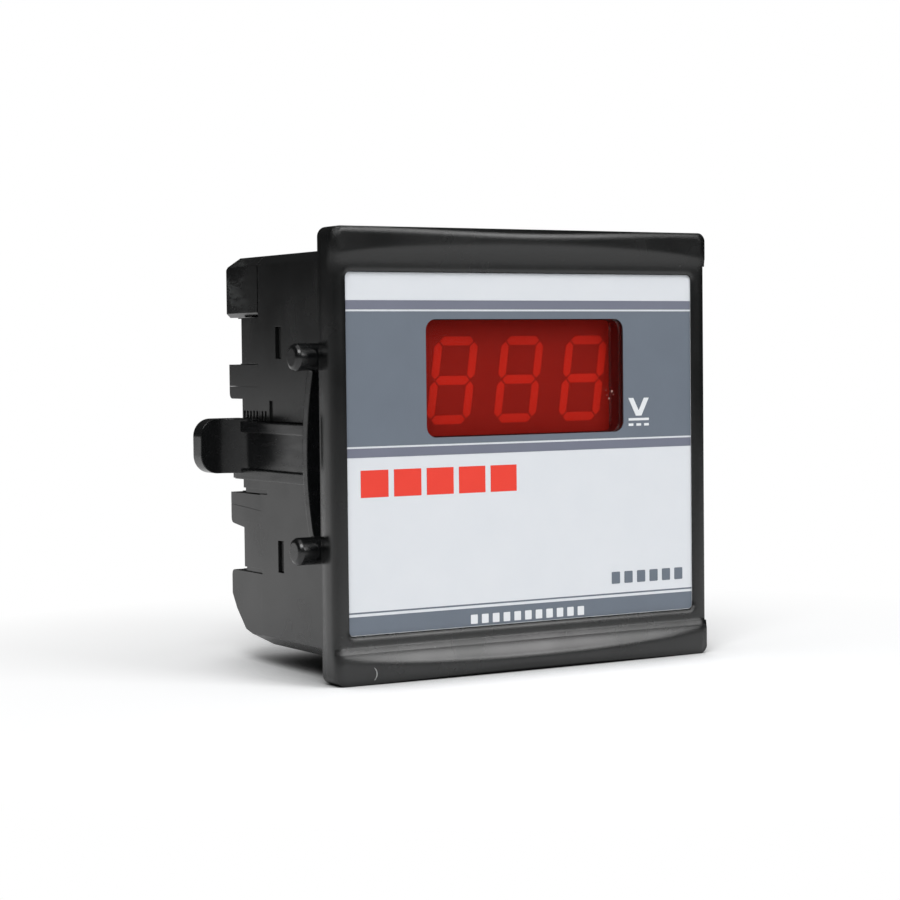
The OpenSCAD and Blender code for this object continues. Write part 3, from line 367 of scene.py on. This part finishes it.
# %% Materials: small parts
for slot, name, low, high, shine, size in (
        ("black_part", "pressed_epoxy_black", "#151616", "#202121", 0.55, 0.35),
        ("coil_tape", "polyester_tape_yellow", "#c29222", "#d6a838", 0.3, 2.5),
        ("capacitor_sleeve", "shrunk_pvc_sleeve_navy", "#1c2a52", "#22325e", 0.25, 3.0),
        ("resistor_body", "resistor_lacquer_blue", "#7fb0c4", "#93c0d0", 0.3, 0.7),
        ("trimmer_blue", "moulded_case_blue", "#1b49a8", "#2456bb", 0.35, 0.5)):
    small_part, tree, shader, at = begin(name, {"IOR": 1.5, "Roughness": shine})
    soft_edge = add(tree, "Bevel", {"samples": 4, "Radius": 0.15 * MM})
    mottle = add(tree, "TexNoise", {"Scale": per_metre(size), "Detail": 3.0}, {"Vector": at})
    tint = add(tree, "Mix", {"data_type": "RGBA", 6: linear(low), 7: linear(high)},
               {0: mottle.outputs["Fac"]})
    bump = add(tree, "Bump", {"Strength": 0.15, "Distance": 0.03 * MM},
               {"Height": mottle.outputs["Fac"], "Normal": soft_edge.outputs["Normal"]})
    tree.links.new(tint.outputs[2], shader.inputs["Base Color"])
    tree.links.new(bump.outputs["Normal"], shader.inputs["Normal"])
    finishes[slot] = small_part
    print("material:", small_part.name)

# %% [markdown]
# ## Give each solid its finish
#
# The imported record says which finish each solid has. Each solid's first material slot takes the
# material made for that finish. Nothing else about the solid changes.

# %% Assign finishes to the solids
slot_of = {part["node"]: part["material_slot"] for part in frame["record"]["subparts"]}
for name, solid in nodes.items():
    solid.data.materials.clear()
    solid.data.materials.append(finishes[slot_of[name]])
print("finishes given:", len(nodes), "kinds:", len(set(slot_of.values())))

# %% [markdown]
# ## Surfaces from numbers
#
# Most new pieces are thin: print on the label, specks of dust, a scratch. Each is a small plate
# with a top, a bottom and a rim. A plate's outline is an array of points; the plate carries that
# outline along a short path. All plates of one print are joined into one mesh, because on the
# real label they are one pass of the screen.
#
# A plate could also be a text object or a cube, but a cube says nothing of rounded ink corners,
# and text brings a font along. An outline worked out from its corners is lighter and exact.
#
# Outlines are in millimetres, as (x, z) on a face that looks along Y. They are multiplied by MM
# where a plate is made of them.

# %% Plates from outlines
def rounded_outline(w, h, r, steps=4):
    """Rectangle w by h with corner radius r: corner + r (cos a, sin a), a in quarter turns."""
    a = np.linspace(0, np.pi / 2, steps)[None, :] + np.array([0, 0.5, 1, 1.5])[:, None] * np.pi
    corner = np.array([[1, 1], [-1, 1], [-1, -1], [1, -1]]) * [w / 2 - r, h / 2 - r]
    return (corner[:, None, :] + r * np.stack([np.cos(a), np.sin(a)], -1)).reshape(-1, 2)


def plate(outline, y_front, thick):
    """Points and faces of a plate: its outline (x, z) carried from y_front to y_front + thick."""
    n = len(outline)
    y = np.repeat([y_front, y_front + thick], n)
    points = np.column_stack([np.tile(outline[:, 0], 2), y, np.tile(outline[:, 1], 2)])
    k = np.arange(n)
    rim = np.column_stack([k, k + n, (k + 1) % n + n, (k + 1) % n])
    return points, [list(range(n)), list(range(2 * n - 1, n - 1, -1))] + rim.tolist()


def piece(name, parts, finish, body):
    """One object from a list of (points, faces), with one material and its slot, riding on a body."""
    points, faces, count = [], [], 0
    for part_points, part_faces in parts:
        points.append(part_points)
        faces += [[i + count for i in face] for face in part_faces]
        count += len(part_points)
    mesh = bpy.data.meshes.new(name)
    mesh.from_pydata(np.concatenate(points).tolist(), [], faces)
    mesh.update()
    thing = bpy.data.objects.new(name, mesh)
    bpy.context.scene.collection.objects.link(thing)
    mesh.materials.append(finish)
    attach(thing, body)
    print(name, "points:", count, "faces:", len(faces))
    return thing


# The grey ink already lies on the film, so print on the grey begins one layer further out.
ink = 0.03 * MM
label_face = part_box("label_sheet")[0][1]
on_film, on_grey = label_face - ink, label_face - 2 * ink
print("label face at y =", round(label_face / MM, 2), "mm")

# %% [markdown]
# ## The unit mark
#
# Right of the window stands the unit, a V with the sign for direct current under it: one long bar
# over three dashes. It is white ink on the grey field. The V is an outline of seven points; the
# bar and dashes are small rounded plates.

# %% Unit mark
unit_x, v_z, bar_z, short_z = 22.5, 6.65, 4.55, 3.65
line_thick, line_corner, short_pitch = 0.42, 0.05, 1.6
v_mark = np.array([[-2.12, 1.5], [-1.08, 1.5], [0.0, -0.6], [1.08, 1.5], [2.12, 1.5],
                   [0.58, -1.5], [-0.58, -1.5]])
unit = [plate((v_mark + [unit_x, v_z])[::-1] * MM, on_grey, ink)]
unit.append(plate((rounded_outline(4.2, line_thick, line_corner) + [unit_x, bar_z]) * MM, on_grey, ink))
for k in (-1, 0, 1):
    short = rounded_outline(1.0, line_thick, line_corner) + [unit_x + k * short_pitch, short_z]
    unit.append(plate(short * MM, on_grey, ink))
piece("unit_mark", unit, finishes["label_white_ink"], "meter")

# %% [markdown]
# ## The digits
#
# A seven-segment digit is seven bars with pointed ends, set in a frame that leans 8 degrees. The
# solids have them too, a little narrow; here they are drawn again at their full width on a thin
# diffusing sheet that lies on the display's face. Each bar is one outline of six points. The same
# bar is laid down seven times for a digit by turning and moving its points as arrays.
#
# Sheet, decimal points and digits stand 0.03, 0.05 and 0.06 mm out of the display's face, so that
# no two of them share a plane.

# %% Bars of one digit
def segment(length, stroke):
    """Outline of a bar with pointed ends: a rectangle whose ends are drawn out by half the stroke."""
    l, s = length / 2, stroke / 2
    return np.array([[l, 0], [l - s, s], [s - l, s], [-l, 0], [s - l, -s], [l - s, -s]])


digit_w, digit_h, stroke, gap = 8.2, 14.2, 1.45, 0.4
lean = math.tan(math.radians(8))
w, h = digit_w - stroke, (digit_h - stroke) / 2
level_bar, upright = segment(w - gap, stroke), segment(h - gap, stroke)[:, ::-1][::-1]
bars = [level_bar + [0, k * h] for k in (-1, 0, 1)]
bars += [upright + [sx * w / 2, sz * h / 2] for sx in (-1, 1) for sz in (-1, 1)]
print("bars in a digit:", len(bars))

# %% Digits and their diffusing sheet
digit_places, digit_z, dot_z, dot_w = (-12.0, 0.75, 13.5), 11.6, 5.1, 1.3
display_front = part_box("display_module")[0][1]
shapes = []
for x in digit_places:
    for bar in bars:
        leaning = np.column_stack([bar[:, 0] + lean * bar[:, 1], bar[:, 1]])
        shapes.append(plate((leaning + [x, digit_z]) * MM, display_front - 0.06 * MM, 0.03 * MM))
sheet = rounded_outline(37.5, 18.7, 0.5) + [0.0, 12.0]
ground = [plate(sheet * MM, display_front - 0.03 * MM, 0.03 * MM)]
for x in digit_places:
    dot = rounded_outline(dot_w, dot_w, 0.64, 5) + [x + digit_w / 2 + 0.3, dot_z]
    ground.append(plate(dot * MM, display_front - 0.05 * MM, 0.02 * MM))
piece("display_sheet", ground, finishes["display_body"], "meter")
digits = piece("display_digits", shapes, finishes["segment_epoxy"], "meter")
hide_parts("display_segments")

# %% [markdown]
# ## The window's lining: painted shade
#
# The short tunnel between the red sheet and the display is black moulding. Its walls are covered
# with a near-black matt coat, darker and duller than the moulding: painted shade, for the shade
# that fills the tunnel. The coat is rough and hardly shines at all; its colour is a little uneven.
#
# The lining is a rounded outline carried along the tunnel twice, once outside and once 0.1 mm
# further in, and closed at both ends.

# %% Material: matt black, painted shade in the tunnel
# painted shade: a near-black, matt colour laid over the tunnel's walls
tunnel_shade, tree, shader, at = begin("painted_shade_tunnel_black", {"Roughness": 0.95, "Specular IOR Level": 0.1})
dull = add(tree, "TexNoise", {"Scale": per_metre(0.5), "Detail": 3.0}, {"Vector": at})
tint = add(tree, "Mix", {"data_type": "RGBA", 6: linear("#050505"), 7: linear("#0c0b0b")},
           {0: dull.outputs["Fac"]})
tree.links.new(tint.outputs[2], shader.inputs["Base Color"])
print("material:", tunnel_shade.name)

# %% Window lining
def lining(outer, inner, y_front, y_back):
    """Closed tube: four rings of the outlines (outer front, outer back, inner back, inner front)."""
    n = len(outer)
    rings = ((outer, y_front), (outer, y_back), (inner, y_back), (inner, y_front))
    points = np.concatenate([np.column_stack([o[:, 0], np.full(n, y), o[:, 1]]) for o, y in rings])
    k, nxt = np.arange(n), (np.arange(n) + 1) % n
    quads = [np.column_stack([a * n + k, b * n + k, b * n + nxt, a * n + nxt])
             for a, b in ((0, 1), (1, 2), (2, 3), (3, 0))]
    return points, np.concatenate(quads).tolist()


tunnel_w, tunnel_h, tunnel_corner, coat_thick = 38.28, 18.88, 1.79, 0.1
filter_low, filter_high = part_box("display_filter")
centre = (np.array(filter_low) + np.array(filter_high))[[0, 2]] / 2
outer = rounded_outline(tunnel_w, tunnel_h, tunnel_corner, 6) * MM + centre
inner = rounded_outline(tunnel_w - 2 * coat_thick, tunnel_h - 2 * coat_thick,
                        tunnel_corner - coat_thick, 6) * MM + centre
tube = lining(outer, inner, filter_high[1] + 0.01 * MM, display_front - 0.08 * MM)
# the lining carries the tunnel's painted shade
piece("window_lining_painted_shade", [tube], tunnel_shade, "meter")

# %% [markdown]
# ## Plain marks in place of words
#
# A real label has words here. This one carries none: a row of six grey blocks stands low on the
# right of the film, and a row of eleven fine white dashes in the grey footer.

# %% Plain blocks and dashes
block, block_left, block_pitch, block_z = rounded_outline(1.7, 2.0, 0.15), 17.6, 2.6, -22.0
blocks = [plate((block + [block_left + block_pitch * k, block_z]) * MM, on_film, ink)
          for k in range(6)]
piece("label_grey_blocks", blocks, finishes["label_grey"], "meter")

dash, dash_left, dash_pitch, dash_z = rounded_outline(1.3, 1.5, 0.12), -10.4, 2.08, -27.05
dashes = [plate((dash + [dash_left + dash_pitch * k, dash_z]) * MM, on_grey, ink)
          for k in range(11)]
piece("footer_dashes", dashes, finishes["label_white_ink"], "meter")

# %% [markdown]
# ## Marks of use
#
# The meter is nearly new, but two marks tell that it has been handled: a short curved scratch
# low on the left of the bezel's bottom bar, and a few specks of dust inside the window. The
# scratch is a hair-thin band that follows an arc; the specks are tiny uneven plates. Scratched
# ABS turns whitish where it was torn, and dust is a loose warm grey; neither shines.

# %% Materials: torn plastic and dust
for name, low, high, shine, size, detail in (
        ("house_dust", "#a89a92", "#d8ccc4", 0.9, 0.2, 2.0),
        ("stress_whitened_abs", "#6e7070", "#b4b6b4", 0.7, 0.3, 3.0)):
    mark, tree, shader, at = begin(name, {"Roughness": shine})
    ragged = add(tree, "TexNoise", {"Scale": per_metre(size), "Detail": detail}, {"Vector": at})
    tint = add(tree, "Mix", {"data_type": "RGBA", 6: linear(low), 7: linear(high)},
               {0: ragged.outputs["Fac"]})
    tree.links.new(tint.outputs[2], shader.inputs["Base Color"])
    finishes[name] = mark
    print("material:", mark.name)

# %% Scratch
def band(path, width, y_front, thick):
    """Plate of a band: path + and - half its width along the path's normal, tapering to its ends."""
    step = np.gradient(path, axis=0)
    normal = np.column_stack([-step[:, 1], step[:, 0]]) / np.linalg.norm(step, axis=1)[:, None]
    t = np.linspace(0, 1, len(path))[:, None]
    half = width / 2 * np.sin(np.pi * np.clip(t, 0.04, 0.96)) ** 0.5
    outline = np.concatenate([path + normal * half, (path - normal * half)[::-1]])[::-1]
    return plate(outline, y_front, thick)


# The bar bulges as a circle: at x from its middle its face lies x^2 / (2 radius) further back.
scratch_x, scratch_z, bulge_radius = -29.3, -34.25, 720
t = np.linspace(-1, 1, 13)
scar = np.column_stack([scratch_x + 0.15 - 0.45 * t ** 2, scratch_z - 1.0 * t])
bar_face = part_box("case")[0][1] + scratch_x ** 2 / (2 * bulge_radius) * MM
scratch = band(scar * MM, 0.2 * MM, bar_face - 0.03 * MM, 0.06 * MM)
piece("bar_scratch", [scratch], finishes["stress_whitened_abs"], "meter")

# %% Dust
rng = np.random.default_rng(7)
filter_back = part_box("display_filter")[1][1]
corners = 7
specks = []
for x, z, size in (
        (18.0, 9.3, 0.42), (17.4, 8.1, 0.34), (16.8, 9.5, 0.16), (17.0, 8.7, 0.18), (18.3, 8.8, 0.2)):
    a = np.linspace(0, 2 * np.pi, corners, endpoint=False)
    radius = size / 2 * rng.uniform(0.6, 1.25, corners)
    outline = np.column_stack([x + radius * np.cos(a), z + radius * np.sin(a)])
    specks.append(plate(outline * MM, filter_back + 0.01 * MM, 0.05 * MM))
piece("window_dust", specks, finishes["house_dust"], "meter")

# %% [markdown]
# ## Floor
#
# The meter stands on a white table in a dark room. Black plastic is drawn by what it reflects, so
# the dark room matters as much as the lamps: the white table shows in the lower half of the side
# wall, the room in the upper.
#
# The side wall mirrors the table behind the meter and to its left, and the front mirrors what
# lies before it on the right. So the table's middle is moved behind the meter and to the left:
# the side wall keeps its band of white, and the black front stays dark.
#
# The table is a disc, worked out as rings and spokes. Near the meter it is white paint that keeps
# the contact shadow and gets a painted shadow in the gap below. Further out, and only to the camera
# and in reflections, it glows at strength 1, as a table does that is lit to white. So does the world,
# but to the camera alone.
#
# The narrow gap under the meter would still look too pale, so a shadow is painted into it. An Ambient
# Occlusion node measures how much of the sky each spot sees: the less of it is open, the darker the
# grey painted in.

# %% White table
def disc(radius, z, rings=24, spokes=96):
    """Grid of (r cos a, r sin a, z), with r = radius t^2 so that rings are close near the middle."""
    t = np.linspace(0, 1, rings + 1)[1:, None]
    a = np.linspace(0, 2 * np.pi, spokes, endpoint=False)[None, :]
    r = radius * t ** 2
    points = np.stack([r * np.cos(a), r * np.sin(a), np.full((rings, spokes), z)], -1).reshape(-1, 3)
    k = np.arange(rings - 1)[:, None] * spokes
    j, nxt = np.arange(spokes)[None, :], (np.arange(spokes) + 1)[None, :] % spokes
    quads = np.stack([k + j, k + spokes + j, k + spokes + nxt, k + nxt], -1).reshape(-1, 4)
    return points, [list(range(spokes))] + quads.tolist()


floor_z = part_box("case")[0][2]
table_radius, table_middle = 1.4, [-0.5, 0.85, 0]
points, faces = disc(table_radius, floor_z)
points += table_middle
mesh = bpy.data.meshes.new("white_table")
mesh.from_pydata(points.tolist(), [], faces)
floor = bpy.data.objects.new("white_table", mesh)
bpy.context.scene.collection.objects.link(floor)
print("table at z =", round(floor_z / MM, 2), "mm, faces:", len(faces))

# %% Material: white paint, its near part
WHITE = (1, 1, 1, 1)
paint, tree, near, at = begin("table_paint_white", {
    "Roughness": 0.6, "Specular IOR Level": 0.2, "Emission Color": WHITE})
open_sky = add(tree, "AmbientOcclusion", {"samples": 12, "Distance": 24 * MM})
shade = add(tree, "MapRange", {1: 0.2, 2: 0.8}, {0: open_sky.outputs["AO"]})
# painted shadow: the paint turns dark grey where little sky is open, in the gap under the meter
painted_gap_shadow = add(tree, "Mix", {"data_type": "RGBA", 6: linear("#202122"), 7: linear("#f4f5f6")},
             {0: shade.outputs[0]})
tree.links.new(painted_gap_shadow.outputs[2], near.inputs["Base Color"])

# The camera, reflections and clear sheets see the near part lifted a little by a glow, painted light
# that fades out in the gap, so the painted shadow stays dark.
seen = add(tree, "LightPath")
any_view = add(tree, "Math", {"operation": "MAXIMUM"},
               {0: seen.outputs["Is Camera Ray"], 1: seen.outputs["Is Glossy Ray"]})
any_view = add(tree, "Math", {"operation": "MAXIMUM"},
               {0: any_view.outputs[0], 1: seen.outputs["Is Transmission Ray"]})
painted_glow = add(tree, "Math", {"operation": "MULTIPLY", 1: 0.3}, {0: shade.outputs[0]})
lift = add(tree, "Math", {"operation": "MULTIPLY"}, {0: any_view.outputs[0], 1: painted_glow.outputs[0]})
tree.links.new(lift.outputs[0], near.inputs["Emission Strength"])
print("material:", paint.name)

# %% Material: white paint, its far part
level_at = add(tree, "VectorMath", {"operation": "MULTIPLY", 1: (1, 1, 0)}, {0: at})
reach = add(tree, "VectorMath", {"operation": "LENGTH"}, {0: level_at.outputs["Vector"]})
far = add(tree, "MapRange", {1: 50 * MM, 2: 130 * MM}, {0: reach.outputs["Value"]})
far_seen = add(tree, "Math", {"operation": "MULTIPLY"}, {0: far.outputs[0], 1: any_view.outputs[0]})
glow = add(tree, "Emission", {"Color": WHITE, "Strength": 1.0})
both = add(tree, "MixShader",
           links={0: far_seen.outputs[0], 1: near.outputs["BSDF"], 2: glow.outputs["Emission"]})
tree.links.new(both.outputs["Shader"], tree.nodes["Material Output"].inputs["Surface"])
mesh.materials.append(paint)
print("far part joined to:", floor.name)

# %% [markdown]
# ## Lamps and world
#
# Three soft lamps light the meter: a large one overhead, one to the left of the camera, and a
# lower one to the right. The one on the right is also mirrored in the rounded edges of the
# bezel's bars, which it draws as light lines.
#
# The world is almost black to the object and white to the camera.

# %% Lamps
def aim(place, target):
    """Rotation whose -Z axis runs from place to target and whose X axis stays level."""
    back = np.array(place, float) - target
    back /= np.linalg.norm(back)
    side = np.cross([0, 0, 1], back)
    side /= np.linalg.norm(side)
    return Matrix(np.column_stack([side, np.cross(back, side), back]).tolist()).to_4x4()


for name, place, side_length, watts in (
        ("overhead", (-0.05, -0.02, 1.2), 1.1, 4.0),
        ("front_right", (0.57, -0.95, 0.6), 0.62, 7.4),
        ("key_left", (-0.62, -0.72, 1.0), 0.6, 9.8)):
    lamp = bpy.data.lights.new(name, "AREA")
    lamp.shape, lamp.size, lamp.energy = "SQUARE", side_length, watts
    holder = bpy.data.objects.new(name, lamp)
    holder.matrix_world = Matrix.Translation(place) @ aim(place, np.zeros(3))
    bpy.context.scene.collection.objects.link(holder)
    print(name, "at", place, "watts", watts)

# %% World
world = bpy.data.worlds.new("dark_room")
bpy.context.scene.world = world
world.use_nodes = True
tree = world.node_tree
tree.nodes.clear()
seen = add(tree, "LightPath")
to_object, to_camera = 0.045, 1.0
strength = add(tree, "Mix", {"data_type": "FLOAT", 2: to_object, 3: to_camera},
               {0: seen.outputs["Is Camera Ray"]})
sky = add(tree, "Background", {"Color": WHITE}, {"Strength": strength.outputs[0]})
add(tree, "OutputWorld", links={"Surface": sky.outputs["Background"]})
bpy.context.scene.view_settings.view_transform = "Standard"
print("world:", world.name)

# %% [markdown]
# ## Camera
#
# The camera stands low, 37 cm away and 31 degrees round to the left, with a lens of about 90 mm,
# so the front and the left wall both show and the lines barely converge. Its axes are worked out
# from three angles in radians: yaw, pitch and roll.

# %% Camera
yaw, pitch, roll = 0.53896, -0.042719, -0.0108
eye_place = (-0.20095, -0.31569, 0.01601)
ahead = np.array([math.sin(yaw) * math.cos(pitch), math.cos(yaw) * math.cos(pitch), math.sin(pitch)])
level = np.array([math.cos(yaw), -math.sin(yaw), 0.0])
over = np.cross(level, ahead)
right = math.cos(roll) * level + math.sin(roll) * over
up = -math.sin(roll) * level + math.cos(roll) * over
turn = Matrix(np.column_stack([right, up, -ahead]).tolist()).to_4x4()
eye = bpy.data.objects.new("camera", bpy.data.cameras.new("camera"))
eye.data.lens = 90.63
eye.data.sensor_width = 36
eye.data.clip_start = 0.01
eye.matrix_world = Matrix.Translation(eye_place) @ turn
bpy.context.scene.collection.objects.link(eye)
bpy.context.scene.camera = eye
print("camera distance in mm:", round(float(np.linalg.norm(eye_place)) / MM, 1))
